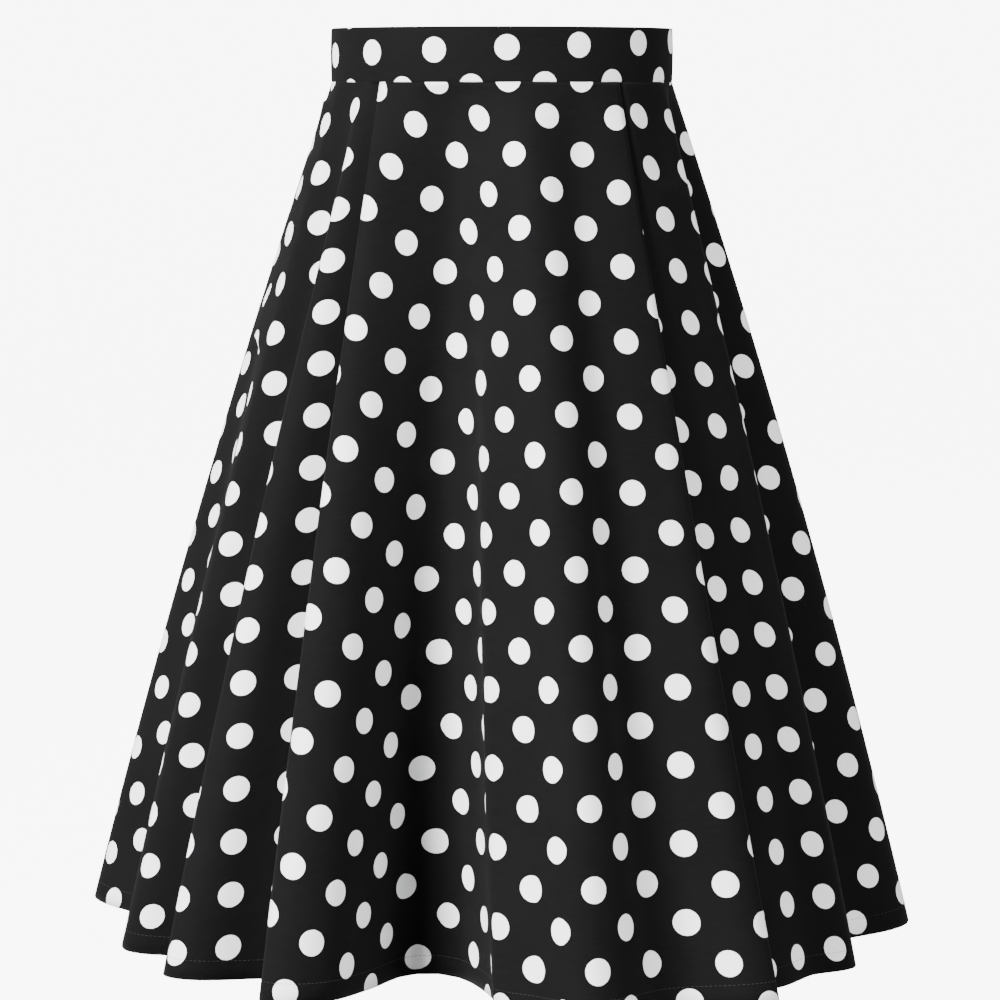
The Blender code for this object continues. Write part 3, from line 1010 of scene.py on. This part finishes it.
        self.angle, self.radius = angle, radius

    @staticmethod
    def normals(surface: Array) -> Array:
        """Unit normals of a closed surface of rings, pointing out.

        Args:
            surface: its points, a row for each ring.

        Returns:
            One normal a point.
        """
        around = np.roll(surface, -1, 1) - np.roll(surface, 1, 1)
        normal = np.cross(around, np.gradient(surface, axis=0))
        normal /= np.linalg.norm(normal, axis=-1, keepdims=True)
        return -normal if (normal[0, 0, :2] * surface[0, 0, :2]).sum() < 0 else normal

    def span(self, start: int, stop: int) -> tuple[Array, Array, Array]:
        """Cloth between two seams.

        Args:
            start: column of the first seam.
            stop: column of the last seam, past the last column where it goes round.

        Returns:
            Points, normals and cut angles of the columns.
        """
        cols = np.arange(start, stop + 1)
        total = self.surface.shape[1]
        angle = self.angle[:, cols % total] + np.radians(self.turn) * (cols // total)
        return self.surface[:, cols % total], self.normal[:, cols % total], angle


@dataclass
class Panel:
    """One panel of the skirt.

    Args:
        name: name of the panel's piece.
        node: the solid that it stands for.
        band: the band that it hangs from.
        start: column of its first seam.
        stop: column of its last seam.
        dots: how the print lies on it.
        groove: depth of the groove that a seam draws into the cloth.
    """

    name: str
    node: str
    band: str
    start: int
    stop: int
    dots: Print
    groove: float = 0.0005

    def build(self, skirt: HungSkirt, outside: bpy.types.Material, inside: bpy.types.Material) -> None:
        """Make the panel's shell, with the print on both faces.

        The outer and inner faces are the hung surface moved along its normals by half the wall.
        At both seams the cloth dips in by the groove.

        Args:
            skirt: the hung skirt.
            outside: finish of the right side of the cloth.
            inside: finish of the wrong side.
        """
        middle, normal, angle = skirt.span(self.start, self.stop)
        middle = middle.copy()
        for edge in (0, -1):
            middle[:, edge] -= normal[:, edge] * self.groove
        half = skirt.wall / 2
        vertices, faces, side = shell(middle + half * normal, middle - half * normal)
        place = self.dots.place(np.broadcast_to(skirt.radius[:, None], angle.shape), angle).reshape(-1, 2)
        piece = Piece(self.name, SKIRT_BODY, "dotted_cloth")
        obj = piece.make(vertices, faces.tolist(), [outside, inside], side, np.concatenate([place, place]))
        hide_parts(self.node)


@dataclass
class Skirt:
    """All five panels of the skirt and the stitching of its hem.

    Args:
        hung: the hung cloth.
        off_tip: columns from the tip of a pleat to the seam that it hides.
        hem: height of the hem's stitches over the edge.
        stitch: length of a hem stitch.
        stitch_gap: space between hem stitches.
        thread: radius of the thread.
    """

    hung: HungSkirt = field(default_factory=HungSkirt)
    off_tip: int = 4
    hem: float = 0.014
    stitch: float = 0.0022
    stitch_gap: float = 0.0011
    thread: float = 0.00016

    def panels(self) -> list[Panel]:
        """The panels, with the seams that bound them.

        Returns:
            The five panels, going round by the right.
        """
        crest, valley = self.hung.crest_at, self.hung.valley_at
        total = self.hung.surface.shape[1]
        left, right = valley["left second"] - self.off_tip, valley["right front"] + self.off_tip
        front = Print(-7.55, 0.0216, 0.2838, 0.76, 8.0)
        hidden = valley["right third"]
        return [
            Panel("skirt_front_left", "front_side_panel_left", "waistband_front",
                  crest["left side"], left, Print(-28.5, 0.0093, -0.0116)),
            Panel("skirt_front_centre", "front_centre_panel", "waistband_front", left, right, front),
            Panel("skirt_front_right", "front_side_panel_right", "waistband_front",
                  right, hidden, Print(19.25, 0.0101, -0.0103)),
            Panel("skirt_back_right", "back_panel_right", "waistband_back_right",
                  hidden, crest["back middle"], Print(38.75, -0.0003, -0.0063)),
            Panel("skirt_back_left", "back_panel_left", "waistband_back_left",
                  crest["back middle"], crest["left side"] + total, Print(-112.5, 0.0, 0.29)),
        ]

    def build(self, outside: bpy.types.Material, inside: bpy.types.Material,
              thread: bpy.types.Material) -> None:
        """Hang the cloth, make each panel and stitch the hem.

        Args:
            outside: finish of the right side of the cloth.
            inside: finish of the wrong side.
            thread: finish of the hem's thread.
        """
        self.hung.hang()
        for panel in self.panels():
            panel.build(self.hung, outside, inside)
        self.stitch_hem(thread)

    def stitch_hem(self, thread: bpy.types.Material) -> None:
        """Row of fine stitches round the skirt, a little over the hem's edge.

        Args:
            thread: their finish.
        """
        down = self.hung.radius - self.hung.waist_radius
        target = self.hung.length - self.hem
        row = int(np.searchsorted(down, target))
        share = (target - down[row - 1]) / (down[row] - down[row - 1])
        loop = np.r_[0:self.hung.surface.shape[1], 0]
        place, normal = ((1 - share) * a[row - 1, loop] + share * a[row, loop]
                         for a in (self.hung.surface, self.hung.normal))
        path = place + normal * (self.hung.wall / 2 + self.thread * 0.3)
        vertices, faces = stitch_row(path, normal, self.stitch, self.stitch_gap, self.thread)
        Piece("hem_stitches", SKIRT_BODY, "dotted_cloth").make(vertices, faces.tolist(), [thread])


# Waistband
@dataclass
class Waistband:
    """Upright faced band round the waist.

    Args:
        waist: the waist line.
        height: height of the band.
        wall: thickness of the band.
        skin: how far its outside stands out of the waist line.
        gap: space between the band and its neighbours.
        ply: thickness of the folded cloth.
        swell: how far the outside swells at half height.
        tilt: turn of the print on the band.
        ease: how much longer the band's cloth is than its place.
        dot_along: length along the waist of one dot.
        dot_up: height of the same dot.
        roll: how far the outside rolls in at the seam.
        roll_reach: height over which it does so.
        profile_points: points up one side of the profile.
    """

    waist: Waist = field(default_factory=Waist)
    height: float = 0.040
    wall: float = 0.0024
    skin: float = 0.0006
    gap: float = 0.0003
    ply: float = 0.0011
    swell: float = 0.0005
    tilt: float = 1.8
    ease: float = 1.03
    dot_along: float = 0.0036
    dot_up: float = 0.0050
    roll: float = 0.0005
    roll_reach: float = 0.0006
    profile_points: int = 56

    def profile(self) -> tuple[Array, Array]:
        """Closed profile of the folded band, out of the waist line and up.

        The cloth's middle runs up the outside, turns over the top in a half circle and runs down
        the inside; its two faces lie half a ply to each side. The outside swells as a sine and
        rolls in at the foot by a falling exponential.

        Returns:
            Distances out of the waist line and heights.
        """
        foot = -self.height / 2
        bend = (self.wall - self.ply) / 2
        middle = self.skin - self.wall / 2
        shoulder = self.height / 2 - self.wall / 2
        up = np.linspace(0, 1, self.profile_points)
        turn = np.linspace(0, np.pi, 11)[1:-1]
        swell = self.swell * np.sin(np.pi * up) - self.roll * np.exp(-up * self.height / self.roll_reach)
        rise = foot + up * (shoulder - foot)

        def line(off: float) -> Array:
            """One face of the cloth, a distance off its middle.

            Args:
                off: the distance.

            Returns:
                Its points, up the outside, over the top and down the inside.
            """
            reach = bend + off
            outside = np.stack([middle + reach + swell, rise], -1)
            top = np.stack([middle + reach * np.cos(turn), shoulder + reach * np.sin(turn)], -1)
            inside = np.stack([np.full_like(rise, middle - reach), rise], -1)[::-1]
            return np.concatenate([outside, top, inside])

        loop = np.concatenate([line(self.ply / 2), line(-self.ply / 2)[::-1]])
        return loop[:, 0], loop[:, 1]

    def build_span(self, name: str, node: str, first: float, last: float,
                   columns: int, material: bpy.types.Material) -> None:
        """Carry the profile along the waist between two lengths.

        Args:
            name: name of the piece.
            node: the solid that it stands for.
            first: length along the waist at its start.
            last: length along the waist at its end.
            columns: profiles along it.
            material: its finish.
        """
        arc = np.linspace(first + self.gap / 2, last - self.gap / 2, columns)
        out, up = self.profile()
        turn = self.waist.turn(arc)
        across = self.waist.point(turn, 1.0) - self.waist.point(turn, 0.0)
        plan = self.waist.point(turn)[:, None] + out[None, :, None] * across[:, None]
        points = np.concatenate([plan, np.broadcast_to(up[None, :, None], (*plan.shape[:2], 1))], -1)
        count = len(out)
        at = np.arange(columns * count).reshape(columns, count)
        faces = ring_faces(columns, count).tolist() + [at[0].tolist(), at[-1][::-1].tolist()]
        lean = np.radians(self.tilt)
        along = self.ease * (np.broadcast_to(arc[:, None], at.shape) - self.dot_along)
        high = np.broadcast_to(up[None], at.shape) - self.dot_up
        uv = np.stack([along * np.cos(lean) + high * np.sin(lean),
                       high * np.cos(lean) - along * np.sin(lean)], -1)
        obj = Piece(name, SKIRT_BODY, "dotted_cloth").make(points.reshape(-1, 3), faces, [material],
                                                           uv=uv.reshape(-1, 2))
        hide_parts(node)

    def build(self, material: bpy.types.Material) -> None:
        """Make the front band and the two back bands.

        Args:
            material: their finish.
        """
        half = self.waist.half()
        self.build_span("band_front", "waistband_front",
                        -half / 2, half / 2, 160, material)
        self.build_span("band_back_right", "waistband_back_right",
                        half / 2, half, 80, material)
        self.build_span("band_back_left", "waistband_back_left",
                        -half, -half / 2, 80, material)


# Zip
@dataclass
class ConcealedZip:
    """Concealed zip down the back middle: two tapes, a coil on each, slider and tab.

    Args:
        skirt: the hung cloth that it closes.
        band: the waistband over it.
        length: length of the tapes.
        width: width of a tape.
        drop: how far the tapes end under the band's top.
        ease: space between the cloth and the tapes.
        wall: thickness of a tape.
        pitch: distance between turns of a coil.
        coil: half of a coil's width.
        wire: radius of a coil's wire.
        start: height of the coils' first turn.
        stop: height of their last turn.
    """

    skirt: HungSkirt
    band: Waistband
    length: float = 0.200
    width: float = 0.012
    drop: float = 0.003
    ease: float = 0.0019
    wall: float = 0.0006
    pitch: float = 0.0014
    coil: float = 0.0013
    wire: float = 0.0003
    start: float = 0.002
    stop: float = -0.176

    def inside(self, x: Array, z: Array) -> Array:
        """How far behind the origin the inside of the back lies.

        Each ring near the back middle gives its depth at the places across; the depths are then
        read at the heights. Beside the band the nearer of band and skirt counts.

        Args:
            x: places across.
            z: heights.

        Returns:
            Depths, a row for each height.
        """
        back = self.skirt.crest_at["back middle"]
        near = self.skirt.surface[:, back - 10:back + 11]
        rows = np.array([np.interp(-x, -ring[:, 0], ring[:, 1]) for ring in near])
        cloth = np.array([np.interp(-z, -near[:, 10, 2], rows[:, i]) for i in range(len(x))]).T
        cloth = cloth - self.skirt.wall / 2
        waist = self.band.waist
        band = waist.half_depth * np.sqrt(1 - (x / waist.half_width) ** 2) + self.band.skin - self.band.wall
        return np.where((z > -self.band.height / 2 - 0.004)[:, None], np.minimum(band, cloth), cloth)

    def build_tape(self, word: str, side: int, material: bpy.types.Material) -> None:
        """Lay one tape against the inside of the back.

        Args:
            word: left or right, as in the names of its piece, its solid and its panel.
            side: 1 for the tape on the +X side, -1 for the other.
            material: its finish.
        """
        top = self.band.height / 2 - self.drop
        z = np.linspace(top, top - self.length, 120)
        x = side * np.linspace(0.00015, self.width, 14)[::-side]
        depth = self.inside(x, z) - self.ease
        outer = np.stack(np.broadcast_arrays(x[None], depth, z[:, None]), -1)
        vertices, faces, _ = shell(outer, outer - np.array([0.0, self.wall, 0.0]))
        obj = Piece(f"tape_{word}", SKIRT_BODY, "zip_tape").make(vertices, faces.tolist(), [material])
        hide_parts(f"zip_tape_{word}")

    def build_coil(self, name: str, side: int, material: bpy.types.Material) -> None:
        """Wind one coil along the inner edge of a tape.

        Its middle line is a flattened helix: across and in depth it turns as cosine and sine
        while it goes down by the pitch a turn.

        Args:
            name: name of the piece.
            side: 1 for the coil on the +X side, -1 for the other.
            material: its finish.
        """
        turns = (self.start - self.stop) / self.pitch
        angle = np.linspace(0, 2 * np.pi * turns, int(turns * 12) + 1)
        z = self.start - self.pitch * angle / (2 * np.pi)
        depth = self.inside(np.array([side * 0.002]), z)[:, 0] - self.ease - self.wall
        thick = self.coil * 0.55
        x = side * (self.coil + self.wire + 0.0002) + self.coil * np.cos(angle)
        y = depth - thick - self.wire * 0.8 + thick * np.sin(angle)
        path = np.stack([x, y, z], -1)
        vertices, faces = tube_along(path, np.broadcast_to([0.0, 0.0, 1.0], path.shape), self.wire)
        Piece(name, SKIRT_BODY, "zip_tape").make(vertices, faces, [material])

    def build(self, tape: bpy.types.Material, metal: bpy.types.Material) -> None:
        """Make tapes and coils, and dress the slider and its tab.

        Args:
            tape: finish of the tapes and coils.
            metal: finish of the slider and its tab.
        """
        for side, word in ((1, "right"), (-1, "left")):
            self.build_tape(word, side, tape)
            self.build_coil(f"coil_{word}", side, tape)
        for node in ("zip_slider", "zip_pull_tab"):
            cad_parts[node].material_slots[0].material = metal


# Studio
@dataclass
class Studio:
    """Camera, pale sweep and soft lights.

    Args:
        distance: distance of the camera from the skirt's middle.
        height: height of the camera.
        aside: place of the camera across the picture.
        down: tilt of the camera.
        lens: focal length, in millimetres on a 36 mm sensor.
        floor: height of the floor.
        reach: how far the flat floor goes.
        bend: radius of its curve up into the wall.
        wall: height of the wall over the floor.
        glow: strength of its own light.
        sky: strength of the light from all round.
    """

    distance: float = 2.567
    height: float = -0.0238
    aside: float = -0.0014
    down: float = 6.96
    lens: float = 121.7
    floor: float = -0.80
    reach: float = 6.0
    bend: float = 2.0
    wall: float = 8.0
    glow: float = 8.0
    sky: float = 0.45

    def camera(self) -> None:
        """Camera at the photograph's viewing angle."""
        data = bpy.data.cameras.new("camera")
        data.lens = self.lens
        data.sensor_width = 36.0
        data.clip_end = 50.0
        camera = bpy.data.objects.new("camera", data)
        camera.location = (self.aside, -self.distance, self.height)
        camera.rotation_euler = (np.radians(90.0 - self.down), 0.0, 0.0)
        bpy.context.scene.collection.objects.link(camera)
        bpy.context.scene.camera = camera

    def light(self, name: str, place: tuple, power: float, size: float) -> None:
        """Square soft light that looks at the skirt.

        Args:
            name: the light's name.
            place: where it stands.
            power: its power in watts.
            size: its side.
        """
        data = bpy.data.lights.new(name, "AREA")
        data.energy, data.size, data.shape = power, size, "SQUARE"
        lamp = bpy.data.objects.new(name, data)
        lamp.location = place
        aim = np.array([0.0, 0.0, -0.3]) - np.array(place)
        lamp.rotation_euler = (np.arctan2(np.hypot(aim[0], aim[1]), -aim[2]), 0.0,
                               np.arctan2(aim[1], aim[0]) - np.pi / 2)
        bpy.context.scene.collection.objects.link(lamp)

    def sweep(self) -> None:
        """Pale round floor that curves up into a wall.

        Its profile is a line, a quarter circle and a line, turned about Z. It glows by itself and
        neither lights nor shades the skirt.
        """
        rise = np.linspace(0, np.pi / 2, 24)
        r = np.concatenate([[0.01], self.reach + self.bend * np.sin(rise), [self.reach + self.bend]])
        z = np.concatenate([[0.0], self.bend * (1 - np.cos(rise)), [self.wall]]) + self.floor
        columns = 96
        turn = (2 * np.pi * np.arange(columns) / columns)[None]
        points = np.stack(np.broadcast_arrays(r[:, None] * np.cos(turn), r[:, None] * np.sin(turn),
                                              z[:, None]), -1)
        mesh = bpy.data.meshes.new("sweep")
        faces = ring_faces(len(r), columns).tolist() + [list(range(columns))]
        mesh.from_pydata(points.reshape(-1, 3).tolist(), [], faces)
        mesh.polygons.foreach_set("use_smooth", np.full(len(mesh.polygons), True))
        n = Nodes("pale_sweep")
        n.shader.inputs["Base Color"].default_value = (0.30, 0.30, 0.302, 1.0)
        n.shader.inputs["Roughness"].default_value = 0.9
        n.shader.inputs["Emission Color"].default_value = (1.0, 1.0, 1.0, 1.0)
        n.shader.inputs["Emission Strength"].default_value = self.glow
        mesh.materials.append(n.material)
        obj = bpy.data.objects.new("sweep", mesh)
        obj.visible_diffuse = obj.visible_glossy = obj.visible_shadow = False
        bpy.context.scene.collection.objects.link(obj)

    def build(self) -> None:
        """Set camera, sweep, lights and sky."""
        self.camera()
        self.sweep()
        self.light("key", (-2.2, -2.2, 0.8), 480.0, 1.1)
        self.light("fill", (2.2, -2.4, 0.3), 130.0, 1.8)
        self.light("back", (0.0, 2.4, 2.0), 80.0, 2.4)
        world = bpy.data.worlds.new("soft_sky")
        world.use_nodes = True
        sky = world.node_tree.nodes["Background"]
        sky.inputs["Color"].default_value = (1.0, 1.0, 1.0, 1.0)
        sky.inputs["Strength"].default_value = self.sky
        bpy.context.scene.world = world


def main() -> None:
    """Build each sub-assembly in order."""
    logging.basicConfig(level=logging.INFO, format="%(name)s %(message)s")
    outside = DottedCloth("dotted_cloth").make()
    inside = DottedCloth("dotted_cloth_inside", black=(0.006, 0.0058, 0.0064),
                         white=(0.22, 0.22, 0.23)).make()
    tape = WovenTrim("zip_tape_black").make()
    thread = WovenTrim("black_thread", colour=(0.010, 0.010, 0.011), rib=0.0004).make()
    metal = BlackEnamel("black_enamel").make()
    Studio().build()
    skirt = Skirt()
    skirt.build(outside, inside, thread)
    band = Waistband()
    band.build(outside)
    ConcealedZip(skirt.hung, band).build(tape, metal)


if __name__ == "__main__":
    main()
